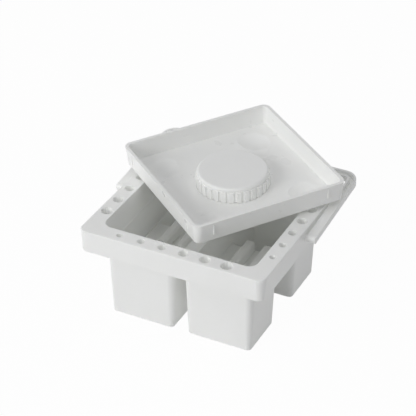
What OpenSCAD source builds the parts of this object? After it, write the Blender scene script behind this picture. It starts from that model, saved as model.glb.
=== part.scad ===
// Square brush washer: a four-cup tub with a brush-holder rim, a carry
// handle and a palette lid with a screw cap. Millimetres, +Z up. X runs
// along the front, Y goes back. The origin lies where the part stands,
// under the middle of the box that the whole part fills.

/* [Tub] */
// Outside width of the square rim
rim_w = 170; // [160:1:190]
// Height of the tub, from the foot to the top of the rim
tub_h = 90; // [80:1:110]
// Depth of the skirt that hangs from the rim
skirt_h = 20.8; // [17:0.2:26]
// Outside corner radius of the rim
rim_r = 7; // [5:0.5:12]
// Width of the square opening inside the rim
opening_w = 140.4; // [136:0.2:142]
// Overall width of the four cups at the foot
foot_w = 131.2; // [126:0.2:133]
// Wall of the cups
wall = 2; // [1.6:0.1:2.6]
// Top plate of the rim
plate_t = 2.2; // [1.6:0.1:3]
// Draft of the cup walls, in degrees
cup_draft = 2.4; // [1:0.1:2.8]
// Radius of the upright cup corners at the foot
cup_r = 4; // [3.6:0.1:6]
// Radius round the foot of each cup
foot_r = 1.6; // [0.8:0.1:1.8]
// Gap between the left and right cups at the foot
left_right_gap = 13.6; // [11:0.2:18]
// Gap between the front and back cups at the foot
front_back_gap = 38; // [32:1:44]
// Height of the wall between the left and right halves
divider_h = 69.2; // [64:0.2:72]

/* [Wash board] */
// Height of the floor between the front and back cups
board_h = 40; // [34:1:46]
// Height of a ridge above that floor
ridge_h = 10; // [6:0.5:14]
// Width of a ridge
ridge_w = 8.4; // [7:0.2:10]
// Radius along the top edges of a ridge
ridge_r = 2.6; // [2.2:0.1:3.4]
// Distance from one ridge to the next
ridge_pitch = 17.2; // [14:0.2:22]
// Ridges in each half
ridges = 2; // [1:1:3]
// Offset of the ridges from the middle of each half, towards the divider
ridge_offset = 1.4; // [0:0.1:2]

/* [Brush holes] */
// Holes along each side of the rim
holes = 6; // [2:1:6]
// Distance from one hole to the next
hole_pitch = 19.7; // [18:0.1:20.5]
// Diameter of the smallest hole
hole_min = 5.6; // [4:0.1:7]
// Diameter of the largest hole
hole_max = 10.8; // [8:0.1:11]
// Wall of the socket under each hole
socket_t = 1.2; // [0.8:0.1:1.6]
// Length of the sockets, from the top of the rim
socket_h = 12; // [8:0.5:16]

/* [Carry handle] */
// Width of the handle arm, seen from above
arm_w = 8; // [7:0.2:10]
// Height of the handle arm, seen from the side
arm_h = 6; // [5:0.2:8]
// Gap between the rim and the handle arm
arm_gap = 1.5; // [1:0.1:3]
// Gap between the rim and the handle's back bar
back_gap = 4; // [2:0.5:17]
// Outside corner radius of the handle
handle_r = 13; // [11:0.5:20]
// Distance of the pivot below the top of the rim
pivot_drop = 8; // [6:0.5:11]
// Diameter of the peg that turns in the skirt
peg_d = 5.8; // [4:0.1:6.4]
// Clearance between the peg and its hole, on the radius
peg_fit = 0.1; // [0.05:0.01:0.15]
// How far the handle is raised from level, in degrees
handle_rise = 4.9; // [3.5:0.1:6]
// Width of the finger groove
groove_w = 4; // [2:0.2:5]
// Depth of the finger groove
groove_d = 4; // [2:0.2:4.5]
// Distance from the pivot to the start of the finger groove
groove_from = 62; // [30:1:75]

/* [Lid] */
// Outside width of the lid at its rim
lid_w = 143; // [139:0.2:146]
// Height of the lid
lid_h = 18.8; // [15:0.2:22]
// Wall of the lid
lid_wall = 2.9; // [2:0.1:3.2]
// Floor of the lid
lid_floor = 2; // [1.6:0.1:3]
// Fall of the lid's floor from the walls to the cap
lid_dish = 3.6; // [0:0.1:4]
// Draft of the lid walls, in degrees
lid_draft = 6; // [3:0.1:8]
// Radius of the upright lid corners at the bottom
lid_r = 5; // [4.5:0.1:8]
// Radius round the bottom of the lid
lid_foot_r = 2; // [1:0.1:2.2]
// Distance of each paint well from the middle, along both sides
well_at = 43.3; // [40:0.1:46]
// Diameter of a paint well
well_d = 33; // [24:0.5:34]
// Depth of a paint well
well_depth = 3; // [1:0.1:4]
// Distance of each stop rib from the nearest corner
rib_at = 17.5; // [10:0.5:20]
// How far a stop rib stands out
rib_out = 1.2; // [0.6:0.1:2]

/* [Screw cap] */
// Diameter of the cap across its grip ribs
cap_d = 64.6; // [58:0.2:68]
// Height of the cap
cap_h = 13.6; // [12:0.2:16]
// Wall of the cap between the grip ribs
cap_wall = 2.2; // [1.6:0.1:3]
// Top of the cap
cap_top = 2; // [1.4:0.1:3]
// Number of grip ribs
cap_ribs = 30; // [20:1:40]
// Width of a grip rib
cap_rib_w = 4.4; // [3:0.1:4.6]
// How far a grip rib stands out
cap_rib_out = 1.1; // [0.6:0.1:1.6]
// Wall of the threaded neck
neck_wall = 2; // [1.4:0.1:3]
// Clearance between the neck and the cap, where the thread runs
neck_gap = 0.9; // [0.7:0.1:1.2]
// Thickness of the sealing disc
liner_t = 1.2; // [0.8:0.1:2]

/* [Lid as it lies on the tub] */
// Turn of the lid about the upright, in degrees
lid_turn = 53.2; // [50:0.1:56]
// Rise of the lid towards the back, in degrees
lid_rise = 2.5; // [2.2:0.1:3]
// Gap between the lid's far well and the handle that it lies on
lid_gap = 0.1; // [0.1:0.1:1]

/* [Hidden] */
$fn = 64;
// Overlap where one solid runs into the next, and past a surface it cuts
eps = 0.5;
// Clearance between pieces that lie on each other
seat = 0.25;

cup_k = tan(cup_draft);
board_t = wall;
divider_t = wall;
// Half width of the tub's outside, and its corner, at the divider's foot
collar_z = divider_h - divider_t;
collar_w = foot_w + 2 * cup_k * collar_z;
collar_r = cup_r + cup_k * collar_z;
// The collar flares from there to the opening
collar_k = (opening_w / 2 + wall - collar_w / 2) / (tub_h - collar_z);
mouth_w = opening_w - 2 * collar_k * (tub_h - divider_h);
mouth_r = max(2, collar_r - wall);
skirt_z = tub_h - skirt_h;
skirt_k = 0.05;
skirt_w = rim_w - 2 * skirt_k * skirt_h;
skirt_r = rim_r - skirt_k * skirt_h;
rim_edge_r = 1;
hole_row = (rim_w + opening_w) / 4 - 0.6;
hole_step = (hole_max - hole_min) / max(1, holes - 1);

pivot_h = tub_h - pivot_drop;
arm_in = rim_w / 2 + arm_gap;
arm_out = arm_in + arm_w;
handle_reach = rim_w / 2 + back_gap + arm_w;
hub_r = arm_h / 2 + 0.3;
peg_r = peg_d / 2;
peg_head_r = peg_r + 0.7;
peg_head_t = 1.4;
// Inner face of the skirt at the pivot
skirt_in = skirt_w / 2 + skirt_k * (pivot_h - hub_r - skirt_z) - wall;

lid_k = tan(lid_draft);
lid_bottom_w = lid_w - 2 * lid_k * lid_h;
lid_in_w = lid_bottom_w - 2 * lid_wall + 2 * lid_k * lid_floor;
lid_in_r = max(2.6, lid_r - lid_wall);
rib_w = 1.4;
well_r = well_d / 2;
well_ball = (well_r * well_r + well_depth * well_depth) / (2 * well_depth);
// Far well: its distance behind the middle of the lid, and its depth below
// the lid's rim. It lies on the outer edge of the handle's back bar
far_y = well_at * sqrt(2) * sin(45 + lid_turn);
far_z = lid_h + well_depth;
bar_y = handle_reach * cos(handle_rise);
bar_z = pivot_h + handle_reach * sin(handle_rise) + arm_h / 2 * cos(handle_rise);
lid_back = bar_y - far_y * cos(lid_rise) - far_z * sin(lid_rise);
lid_up = bar_z + lid_gap - far_y * sin(lid_rise) + far_z * cos(lid_rise);
// Reach of the lid's rim towards the back, from its middle
lid_top_r = lid_r + lid_k * lid_h;
lid_reach = ((lid_w / 2 - lid_top_r) * sqrt(2) * sin(45 + lid_turn) + lid_top_r) * cos(lid_rise);
// The middle of the tub lies as far in front of the origin
tub_y = (rim_w / 2 - lid_back - lid_reach) / 2;

cap_r = cap_d / 2;
cap_body_r = cap_r - cap_rib_out;
cap_shoulder = 2.4;
cap_in_r = cap_body_r - cap_wall;
neck_r = cap_in_r - neck_gap;
liner_gap = 0.1;
neck_h = cap_h - cap_top - liner_t - 2 * liner_gap + seat;
floor_z = lid_floor - lid_h;
// The floor falls in a cone to a flat ring round the neck
dish_z = floor_z - lid_dish;
dish_in_r = cap_r + 1.6;
dish_out_r = lid_w / 2 - 8;

// Half of an upright section: a drafted side over a rounded foot
module side_half(r, k, h, foot) {
    lean = sqrt(1 + k * k);
    foot_x = r + k * foot - foot * lean;
    polygon([
        [0, 0], [foot_x, 0],
        [foot_x + foot / lean, foot - k * foot / lean],
        [r + k * h, h], [0, h]
    ]);
    translate([foot_x, foot]) intersection() {
        circle(foot);
        translate([-min(foot_x, foot), -foot]) square([2 * foot, 2 * foot]);
    }
}

module side_section(span, r, k, h, foot) {
    straight = span - 2 * r;
    for (side = [0, 1])
        mirror([side, 0]) translate([straight / 2, 0]) side_half(r, k, h, foot);
    translate([-straight / 2, 0]) square([straight, h]);
}

// Block with drafted sides, round upright corners and a rounded foot. w, d
// and r are its size at z = 0, also where it starts higher, at from_z
module drafted_block(w, d, h, r, k, foot = 0.01, from_z = 0) {
    w1 = w + 2 * k * from_z;
    d1 = d + 2 * k * from_z;
    r1 = r + k * from_z;
    h1 = h - from_z;
    translate([0, 0, from_z]) {
        for (x = [-1, 1], y = [-1, 1])
            translate([x * (w1 / 2 - r1), y * (d1 / 2 - r1), 0])
                rotate_extrude() side_half(r1, k, h1, foot);
        translate([r1 - w1 / 2, 0, 0]) rotate([90, 0, 90])
            linear_extrude(w1 - 2 * r1) side_section(d1, r1, k, h1, foot);
        translate([0, d1 / 2 - r1, 0]) rotate([90, 0, 0])
            linear_extrude(d1 - 2 * r1) side_section(w1, r1, k, h1, foot);
    }
}

// Runs its children at the middle of each half of the tub
module at_halves() {
    for (x = [-1, 1]) translate([x * (foot_w + left_right_gap) / 4, 0, 0]) children();
}

// Runs its children at the middle of each of the four cups
module at_cups() {
    at_halves() for (y = [-1, 1])
        translate([0, y * (foot_w + front_back_gap) / 4, 0]) children();
}

// Runs its children at each brush hole, with the hole's number in $hole
module at_holes() {
    for (side = [0 : 3], i = [0 : holes - 1]) {
        $hole = i;
        rotate([0, 0, 90 * side])
            translate([(i - (holes - 1) / 2) * hole_pitch, -hole_row, 0]) children();
    }
}

function hole_r(i) = (hole_min + i * hole_step) / 2;

module cups_outside() {
    w = (foot_w - left_right_gap) / 2;
    d = (foot_w - front_back_gap) / 2;
    at_cups() drafted_block(w, d, collar_z + eps, cup_r, cup_k, foot_r);
    at_halves()
        drafted_block(w, foot_w, collar_z + eps, cup_r, cup_k, from_z = board_h - board_t);
}

module cups_inside() {
    w = (foot_w - left_right_gap) / 2 - 2 * wall;
    d = (foot_w - front_back_gap) / 2 - 2 * wall;
    r = cup_r - wall + 0.4;
    translate([0, 0, wall]) {
        at_cups() drafted_block(w, d, board_h - wall + 2, r, cup_k, min(1, r / 2));
        at_halves()
            drafted_block(w, foot_w - 2 * wall, divider_h - wall + eps, r, cup_k,
                          from_z = board_h - wall);
    }
}

// Runs its children at the middle of each ridge
module at_ridges() {
    middle = (foot_w + left_right_gap) / 4 - ridge_offset;
    for (x = [-1, 1], i = [0 : ridges - 1])
        translate([x * (middle + (i - (ridges - 1) / 2) * ridge_pitch), 0, 0]) children();
}

// Section of a ridge, or of the hollow in it where inset is a wall
module ridge_section(inset, base) {
    half = ridge_w / 2 - inset;
    r = max(0.4, ridge_r - inset);
    top = board_h + ridge_h - inset;
    translate([-half, base]) square([2 * half, top - r - base]);
    translate([r - half, base]) square([2 * (half - r), top - base]);
    for (x = [-1, 1]) translate([x * (half - r), top - r]) circle(r);
}

// Ridges across each half, hollow from below
module wash_board() {
    reach = front_back_gap / 2 - 2;
    at_ridges() rotate([90, 0, 0]) linear_extrude(2 * reach, center = true)
        ridge_section(0, board_h - eps);
}

module wash_board_hollows() {
    reach = front_back_gap / 2 - 2 - wall;
    at_ridges() rotate([90, 0, 0]) linear_extrude(2 * reach, center = true)
        ridge_section(wall, board_h - board_t - eps);
}

// Flange with its skirt; the edge round its top is turned over
module rim() {
    difference() {
        translate([0, 0, skirt_z]) intersection() {
            drafted_block(skirt_w, skirt_w, skirt_h, skirt_r, skirt_k);
            translate([0, 0, skirt_h]) mirror([0, 0, 1])
                drafted_block(rim_w + 0.2, rim_w + 0.2, skirt_h + 1, rim_r, 0, rim_edge_r);
        }
        translate([0, 0, skirt_z - eps])
            drafted_block(skirt_w - 2 * wall - 2 * skirt_k * eps,
                          skirt_w - 2 * wall - 2 * skirt_k * eps,
                          skirt_h - plate_t + eps, skirt_r - wall, skirt_k);
    }
}

module tub() {
    color("white") translate([0, tub_y, 0]) {
        difference() {
            union() {
                cups_outside();
                translate([0, 0, collar_z])
                    drafted_block(collar_w, collar_w, tub_h - collar_z - plate_t + eps,
                                  collar_r, collar_k);
                rim();
                at_holes() translate([0, 0, tub_h - socket_h])
                    cylinder(r = hole_r($hole) + socket_t, h = socket_h - plate_t + eps);
            }
            difference() {
                cups_inside();
                wash_board();
            }
            wash_board_hollows();
            translate([0, 0, divider_h])
                drafted_block(mouth_w, mouth_w, tub_h - divider_h + eps, mouth_r, collar_k);
            at_holes() translate([0, 0, tub_h - socket_h - eps])
                cylinder(r = hole_r($hole), h = socket_h + 2 * eps);
            // Holes for the handle's pegs
            for (side = [-1, 1]) translate([side * (skirt_in - 1), 0, pivot_h])
                rotate([0, side * 90, 0]) cylinder(r = peg_r + peg_fit, h = 2 * wall + 2);
        }
    }
}

// Outline of the handle from above, set in by inset on both of its edges
module handle_outline(inset, from) {
    outer = arm_out - inset;
    inner = arm_in + inset;
    reach = handle_reach - inset;
    inner_reach = handle_reach - arm_w + inset;
    corner = handle_r - inset;
    inner_corner = handle_r - arm_w + inset;
    difference() {
        union() {
            translate([-outer, from]) square([2 * outer, reach - corner - from]);
            translate([corner - outer, from]) square([2 * (outer - corner), reach - from]);
            for (x = [-1, 1]) translate([x * (outer - corner), reach - corner]) circle(corner);
        }
        translate([-inner, from - eps])
            square([2 * inner, inner_reach - inner_corner - from + eps]);
        translate([inner_corner - inner, from - eps])
            square([2 * (inner - inner_corner), inner_reach - from + eps]);
        for (x = [-1, 1])
            translate([x * (inner - inner_corner), inner_reach - inner_corner])
                circle(inner_corner);
    }
}

module carry_handle() {
    color("white") translate([0, tub_y, pivot_h]) rotate([handle_rise, 0, 0]) {
        difference() {
            translate([0, 0, -arm_h / 2]) linear_extrude(arm_h) handle_outline(0, 0);
            translate([0, 0, arm_h / 2 - groove_d])
                linear_extrude(groove_d + eps)
                    handle_outline((arm_w - groove_w) / 2, groove_from);
        }
        for (side = [-1, 1]) rotate([0, side * 90, 0]) {
            translate([0, 0, arm_in]) cylinder(r = hub_r, h = arm_w);
            translate([0, 0, skirt_in - seat - eps])
                cylinder(r = peg_r, h = arm_in - skirt_in + seat + 2 * eps);
            translate([0, 0, skirt_in - seat - peg_head_t])
                cylinder(r = peg_head_r, h = peg_head_t);
        }
    }
}

// Puts its children where the lid lies; z = 0 is the plane of the lid's rim
module as_lid_lies() {
    translate([0, tub_y + lid_back, lid_up])
        rotate([lid_rise, 0, 0]) rotate([0, 0, lid_turn]) children();
}

module at_wells() {
    for (x = [-1, 1], y = [-1, 1]) translate([x * well_at, y * well_at, 0]) children();
}

// Ball segment below z = top that is well_r wide at z = 0, grown by extra
module well_bowl(extra, top) {
    low = well_depth + extra + 1;
    intersection() {
        translate([0, 0, well_ball - well_depth]) sphere(well_ball + extra, $fn = 96);
        translate([0, 0, -low]) cylinder(r = 2 * well_r, h = low + top);
    }
}

// The fall of the floor towards the middle, from its top at z = 0
module dish(extra) {
    rotate_extrude() polygon([
        [0, -extra - lid_dish], [dish_in_r, -extra - lid_dish],
        [dish_out_r, -extra], [dish_out_r, eps], [0, eps]
    ]);
}

// Short upright ribs near the corners, which stop the lid on the rim
module stop_ribs() {
    rib_h = lid_h / 2;
    rib_z = -lid_h * 5 / 8;
    half = lid_w / 2 + lid_k * rib_z;
    for (turn = [0 : 3], side = [-1, 1]) rotate([0, 0, 90 * turn])
        translate([side * (lid_w / 2 - rib_at) - rib_w / 2, half - lid_wall / 2, rib_z])
            cube([rib_w, lid_wall / 2 + rib_out, rib_h]);
}

module palette_lid() {
    color("white") as_lid_lies() difference() {
        union() {
            translate([0, 0, -lid_h])
                drafted_block(lid_bottom_w, lid_bottom_w, lid_h, lid_r, lid_k, lid_foot_r);
            stop_ribs();
            translate([0, 0, floor_z]) {
                at_wells() well_bowl(lid_floor, -lid_floor / 2);
                dish(lid_floor);
            }
        }
        difference() {
            translate([0, 0, floor_z]) union() {
                drafted_block(lid_in_w, lid_in_w, lid_h, lid_in_r, lid_k);
                at_wells() well_bowl(0, eps);
                dish(0);
            }
            translate([0, 0, dish_z - eps]) cylinder(r = neck_r, h = neck_h + eps);
        }
        translate([0, 0, dish_z - lid_floor - eps])
            cylinder(r = neck_r - neck_wall, h = lid_h + eps);
    }
}

// Half section of the cap: a rounded shoulder over a straight skirt
module cap_section() {
    difference() {
        union() {
            square([cap_body_r, cap_h - cap_shoulder]);
            square([cap_body_r - cap_shoulder, cap_h]);
            translate([cap_body_r - cap_shoulder, cap_h - cap_shoulder]) circle(cap_shoulder);
        }
        translate([0, -eps]) square([cap_in_r, cap_h - cap_top + eps]);
    }
}

module screw_cap() {
    rib_h = cap_h - cap_shoulder - 1.2;
    color("white") as_lid_lies() translate([0, 0, dish_z + seat]) {
        rotate_extrude() cap_section();
        for (i = [0 : cap_ribs - 1]) rotate([0, 0, i * 360 / cap_ribs])
            translate([cap_body_r - cap_wall / 2, -cap_rib_w / 2, 0])
                cube([cap_wall / 2 + cap_rib_out, cap_rib_w, rib_h]);
    }
}

module cap_liner() {
    color("lightgray") as_lid_lies() translate([0, 0, dish_z + neck_h + liner_gap])
        cylinder(r = neck_r, h = liner_t);
}

tub();
carry_handle();
palette_lid();
screw_cap();
cap_liner();
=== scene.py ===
"""Looks for the square brush washer: moulded white plastic with softened
edges, faint flow marks and shallow sinks, under a soft light from the front."""

import math

import bpy
import bmesh
from mathutils import Matrix, Vector


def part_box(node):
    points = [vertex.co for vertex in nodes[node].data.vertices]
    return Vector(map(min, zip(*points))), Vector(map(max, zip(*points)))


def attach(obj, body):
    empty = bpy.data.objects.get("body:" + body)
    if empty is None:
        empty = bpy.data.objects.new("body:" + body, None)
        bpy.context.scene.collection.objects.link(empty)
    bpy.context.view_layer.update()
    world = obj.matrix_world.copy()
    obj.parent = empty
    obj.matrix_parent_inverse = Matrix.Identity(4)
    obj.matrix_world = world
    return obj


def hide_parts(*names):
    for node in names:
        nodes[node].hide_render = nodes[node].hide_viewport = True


MM = 0.001
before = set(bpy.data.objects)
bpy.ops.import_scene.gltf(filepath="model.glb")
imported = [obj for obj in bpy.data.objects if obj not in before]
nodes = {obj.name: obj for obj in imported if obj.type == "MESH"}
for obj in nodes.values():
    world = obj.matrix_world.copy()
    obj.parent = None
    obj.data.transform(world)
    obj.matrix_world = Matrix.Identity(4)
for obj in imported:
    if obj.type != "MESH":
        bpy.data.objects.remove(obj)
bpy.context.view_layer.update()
# The middle of the tub, in front of the frame's origin, in millimetres
TUB_Y = sum(corner[1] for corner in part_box("tub")) / 2 / MM

# Materials

WHITE = (0.958, 0.962, 0.948)
LINER_GREY = (0.74, 0.74, 0.72)
PLASTIC_IOR = 1.49
# Share of the colour that the flow marks keep
FLOW_SHADE = 0.975


class Graph:
    """Short names for building a material's nodes."""

    def __init__(self, name):
        self.mat = bpy.data.materials.new(name)
        self.mat.use_nodes = True
        self.tree = self.mat.node_tree
        self.bsdf = self.tree.nodes["Principled BSDF"]
        coords = self.tree.nodes.new("ShaderNodeTexCoord")
        self.coords = coords.outputs["Object"]

    def node(self, kind, **values):
        made = self.tree.nodes.new(kind)
        for key, value in values.items():
            made.inputs[key].default_value = value
        return made

    def link(self, a, b):
        self.tree.links.new(a, b)

    def noise(self, scale, detail=2.0):
        made = self.node("ShaderNodeTexNoise", Scale=scale, Detail=detail, Roughness=0.5)
        self.link(self.coords, made.inputs["Vector"])
        return made.outputs["Fac"]

    def ramp(self, source, stops):
        made = self.node("ShaderNodeValToRGB")
        for element, (place, colour) in zip(made.color_ramp.elements, stops):
            element.position = place
            element.color = (*colour, 1.0)
        self.link(source, made.inputs["Fac"])
        return made.outputs["Color"]

    def span(self, source, low, high):
        made = self.node("ShaderNodeMapRange")
        made.inputs["To Min"].default_value = low
        made.inputs["To Max"].default_value = high
        self.link(source, made.inputs["Value"])
        return made.outputs["Result"]


def plastic(name, colour, rough, bump=0.02):
    """Moulded plastic: slight flow marks in its colour, a fine skin texture
    and long, shallow sinks."""
    g = Graph(name)
    dark = tuple(c * FLOW_SHADE for c in colour)
    flow = g.ramp(g.noise(28.0, 3.0), [(0.35, dark), (0.65, colour)])
    g.link(flow, g.bsdf.inputs["Base Color"])
    gloss = g.span(g.noise(60.0, 4.0), rough - 0.04, rough + 0.06)
    g.link(gloss, g.bsdf.inputs["Roughness"])
    g.bsdf.inputs["IOR"].default_value = PLASTIC_IOR
    g.bsdf.inputs["Subsurface Weight"].default_value = 0.2
    g.bsdf.inputs["Subsurface Radius"].default_value = (1.0, 0.98, 0.9)
    g.bsdf.inputs["Subsurface Scale"].default_value = 0.003
    fine = g.node("ShaderNodeBump", Strength=bump, Distance=0.0002)
    g.link(g.noise(2600.0, 2.0), fine.inputs["Height"])
    sinks = g.node("ShaderNodeBump", Strength=0.12, Distance=0.0006)
    g.link(g.noise(14.0, 1.0), sinks.inputs["Height"])
    g.link(sinks.outputs["Normal"], fine.inputs["Normal"])
    g.link(fine.outputs["Normal"], g.bsdf.inputs["Normal"])
    return g.mat


tub_mat = plastic("tub_plastic", WHITE, rough=0.36)
handle_mat = plastic("handle_plastic", WHITE, rough=0.33)
lid_mat = plastic("lid_plastic", WHITE, rough=0.28)
cap_mat = plastic("cap_plastic", WHITE, rough=0.34)
liner_mat = plastic("liner_foam", LINER_GREY, rough=0.75, bump=0.25)

# Edges

# Corners that lie closer than this are one, in millimetres
WELD = 0.001
# Faces that meet at less than this are one, in degrees
FLAT_ANGLE = 0.5
# Edges that turn by more than this are rounded, in degrees
SHARP_ANGLE = 32.0
BEVEL_STEPS = 2
# Even weight between a face's area and its corners' angles
NORMAL_WEIGHT = 50


def soften(obj, mat, width):
    """Gives an object its material and rounds its sharp edges."""
    obj.data.materials.clear()
    obj.data.materials.append(mat)
    weld = obj.modifiers.new("weld", "WELD")
    weld.merge_threshold = WELD * MM
    flat = obj.modifiers.new("flat", "DECIMATE")
    flat.decimate_type = "DISSOLVE"
    flat.angle_limit = math.radians(FLAT_ANGLE)
    bevel = obj.modifiers.new("bevel", "BEVEL")
    bevel.width = width * MM
    bevel.segments = BEVEL_STEPS
    bevel.limit_method = "ANGLE"
    bevel.angle_limit = math.radians(SHARP_ANGLE)
    bevel.use_clamp_overlap = True
    smooth = obj.modifiers.new("smooth", "WEIGHTED_NORMAL")
    smooth.mode = "FACE_AREA"
    smooth.weight = NORMAL_WEIGHT


# The lid's own axes, from its place as it lies on the tub
LID_RISE = math.radians(2.5)
LID_TURN = math.radians(53.2)
LID_TURNED = Matrix.Rotation(LID_RISE, 4, "X") @ Matrix.Rotation(LID_TURN, 4, "Z")
# How far from the lid's middle its mesh carries a flat sheet with no
# thickness, and how far a corner of the sheet may be from there
STRAY_AT = 64.23
STRAY_NEAR = 0.3
# Cosine of the greatest turn of the sheet's faces from the lid's axes
STRAY_FACING = 0.999
# Least area of the sheet's faces, and greatest area of the slivers at its
# ends, in square millimetres
STRAY_AREA = 2
SLIVER_AREA = 1.0
# Corners of the copied mesh that lie closer than this are one
LID_WELD = 0.03


def in_stray_sheet(face, middle, axes):
    """Whether a face lies where the stray sheet does, square to an axis."""
    for axis in axes:
        if abs(face.normal.dot(axis)) <= STRAY_FACING:
            continue
        reach = [abs((v.co - middle).dot(axis)) / MM for v in face.verts]
        off = max(abs(far - STRAY_AT) for far in reach)
        if off < STRAY_NEAR and face.calc_area() > STRAY_AREA * MM * MM:
            return True
    return False


def lid_moulding():
    """Copies the lid's mesh without the stray sheet that stands inside its
    far right wall."""
    cap_low, cap_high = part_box("cap_liner")
    middle = Vector((low + high) / 2 for low, high in zip(cap_low, cap_high))
    turned = LID_TURNED.to_3x3()
    axes = [turned @ Vector(axis) for axis in ((1, 0, 0), (0, 1, 0))]
    mesh = bmesh.new()
    mesh.from_mesh(nodes["palette_lid"].data)
    bmesh.ops.remove_doubles(mesh, verts=mesh.verts, dist=WELD * MM)
    stray = [face for face in mesh.faces if in_stray_sheet(face, middle, axes)]
    bmesh.ops.delete(mesh, geom=stray, context="FACES")
    bmesh.ops.remove_doubles(mesh, verts=mesh.verts, dist=LID_WELD * MM)
    # The sheet's ends leave slivers with open edges
    ends = [face for face in mesh.faces
            if face.calc_area() < SLIVER_AREA * MM * MM
            and any(edge.is_boundary for edge in face.edges)]
    bmesh.ops.delete(mesh, geom=ends, context="FACES")
    data = bpy.data.meshes.new("lid_moulding")
    mesh.to_mesh(data)
    mesh.free()
    for polygon in data.polygons:
        polygon.use_smooth = True
    obj = bpy.data.objects.new("lid_moulding", data)
    bpy.context.scene.collection.objects.link(obj)
    soften(obj, lid_mat, 0.6)
    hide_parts("palette_lid")
    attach(obj, "lid")


soften(nodes["tub"], tub_mat, 0.5)
soften(nodes["carry_handle"], handle_mat, 0.6)
soften(nodes["screw_cap"], cap_mat, 0.4)
soften(nodes["cap_liner"], liner_mat, 0.2)
lid_moulding()

# Stage

# Where the camera stands, fitted to the photograph: its turn to the right
# and its rise, the point it looks at beside the tub's middle, and how far
# away it is
CAMERA_TURN = math.radians(26.577)
CAMERA_RISE = math.radians(33.098)
CAMERA_TARGET = Vector((-9.547, 6.588 + TUB_Y, 79.812)) * MM
CAMERA_AWAY = 1.420375
# Its focal length in pixels of a picture this wide, and its film's width
FOCAL_PIXELS = 1653.037
PICTURE_WIDTH = 416.0
FILM_WIDTH = 36.0

FLOOR_REACH = 6.0
# Shares of plain white in what is seen of the floor and of the sky
FLOOR_WHITE = 0.97
SKY_WHITE = 1.0

# The point that the lamps look at, and their width
LIT_POINT = (0, 0, 0.05)
LAMP_SIZE = 0.9


def camera():
    back = Vector((math.sin(CAMERA_TURN) * math.cos(CAMERA_RISE),
                   -math.cos(CAMERA_TURN) * math.cos(CAMERA_RISE),
                   math.sin(CAMERA_RISE)))
    right = Vector((0, 0, 1)).cross(back).normalized()
    up = back.cross(right)
    data = bpy.data.cameras.new("camera")
    data.sensor_width = FILM_WIDTH
    data.lens = FOCAL_PIXELS / PICTURE_WIDTH * FILM_WIDTH
    data.clip_start, data.clip_end = 0.05, 20.0
    obj = bpy.data.objects.new("camera", data)
    facing = Matrix((right, up, back)).transposed().to_4x4()
    place = Matrix.Translation(CAMERA_TARGET + back * CAMERA_AWAY)
    obj.matrix_world = place @ facing
    bpy.context.scene.collection.objects.link(obj)
    bpy.context.scene.camera = obj


def lamp(name, place, power):
    data = bpy.data.lights.new(name, "AREA")
    data.shape = "DISK"
    data.size = LAMP_SIZE
    data.energy = power
    obj = bpy.data.objects.new(name, data)
    obj.location = place
    aim = Vector(LIT_POINT) - Vector(place)
    obj.rotation_mode = "QUATERNION"
    obj.rotation_quaternion = aim.to_track_quat("-Z", "Y")
    bpy.context.scene.collection.objects.link(obj)


def seen_white(tree, shader, share):
    """Mixes a shader with plain white for the rays that show the background."""
    path = tree.nodes.new("ShaderNodeLightPath")
    first = tree.nodes.new("ShaderNodeMath")
    first.operation = "MAXIMUM"
    tree.links.new(path.outputs["Is Camera Ray"], first.inputs[0])
    tree.links.new(path.outputs["Is Glossy Ray"], first.inputs[1])
    scaled = tree.nodes.new("ShaderNodeMath")
    scaled.operation = "MULTIPLY"
    scaled.inputs[1].default_value = share
    tree.links.new(first.outputs[0], scaled.inputs[0])
    white = tree.nodes.new("ShaderNodeEmission")
    white.inputs["Color"].default_value = (1, 1, 1, 1)
    white.inputs["Strength"].default_value = 1.0
    mix = tree.nodes.new("ShaderNodeMixShader")
    tree.links.new(scaled.outputs[0], mix.inputs[0])
    tree.links.new(shader, mix.inputs[1])
    tree.links.new(white.outputs[0], mix.inputs[2])
    return mix.outputs[0]


def floor():
    mesh = bpy.data.meshes.new("floor")
    reach = FLOOR_REACH
    corners = [(-reach, -reach, 0), (reach, -reach, 0),
               (reach, reach, 0), (-reach, reach, 0)]
    mesh.from_pydata(corners, [], [(0, 1, 2, 3)])
    obj = bpy.data.objects.new("floor", mesh)
    bpy.context.scene.collection.objects.link(obj)
    mat = bpy.data.materials.new("floor")
    mat.use_nodes = True
    tree = mat.node_tree
    tree.nodes.clear()
    matt = tree.nodes.new("ShaderNodeBsdfDiffuse")
    matt.inputs["Color"].default_value = (0.82, 0.82, 0.82, 1)
    out = tree.nodes.new("ShaderNodeOutputMaterial")
    seen = seen_white(tree, matt.outputs[0], FLOOR_WHITE)
    tree.links.new(seen, out.inputs["Surface"])
    mesh.materials.append(mat)


def sky(strength):
    world = bpy.data.worlds.new("studio")
    bpy.context.scene.world = world
    world.use_nodes = True
    tree = world.node_tree
    tree.nodes.clear()
    plain = tree.nodes.new("ShaderNodeBackground")
    plain.inputs["Color"].default_value = (0.985, 0.992, 1.0, 1)
    plain.inputs["Strength"].default_value = strength
    out = tree.nodes.new("ShaderNodeOutputWorld")
    seen = seen_white(tree, plain.outputs[0], SKY_WHITE)
    tree.links.new(seen, out.inputs["Surface"])


bpy.context.scene.view_settings.view_transform = "Standard"
bpy.context.scene.view_settings.look = "None"
light_paths = bpy.context.scene.cycles
light_paths.diffuse_bounces = 12
light_paths.max_bounces = 16
camera()
floor()
sky(0.4)
lamp("key", (-0.527, -1.448, 0.768), 9.0)
lamp("side", (-1.334, -0.77, 0.768), 2.7)
lamp("top", (0.0, -0.059, 1.749), 1.9)
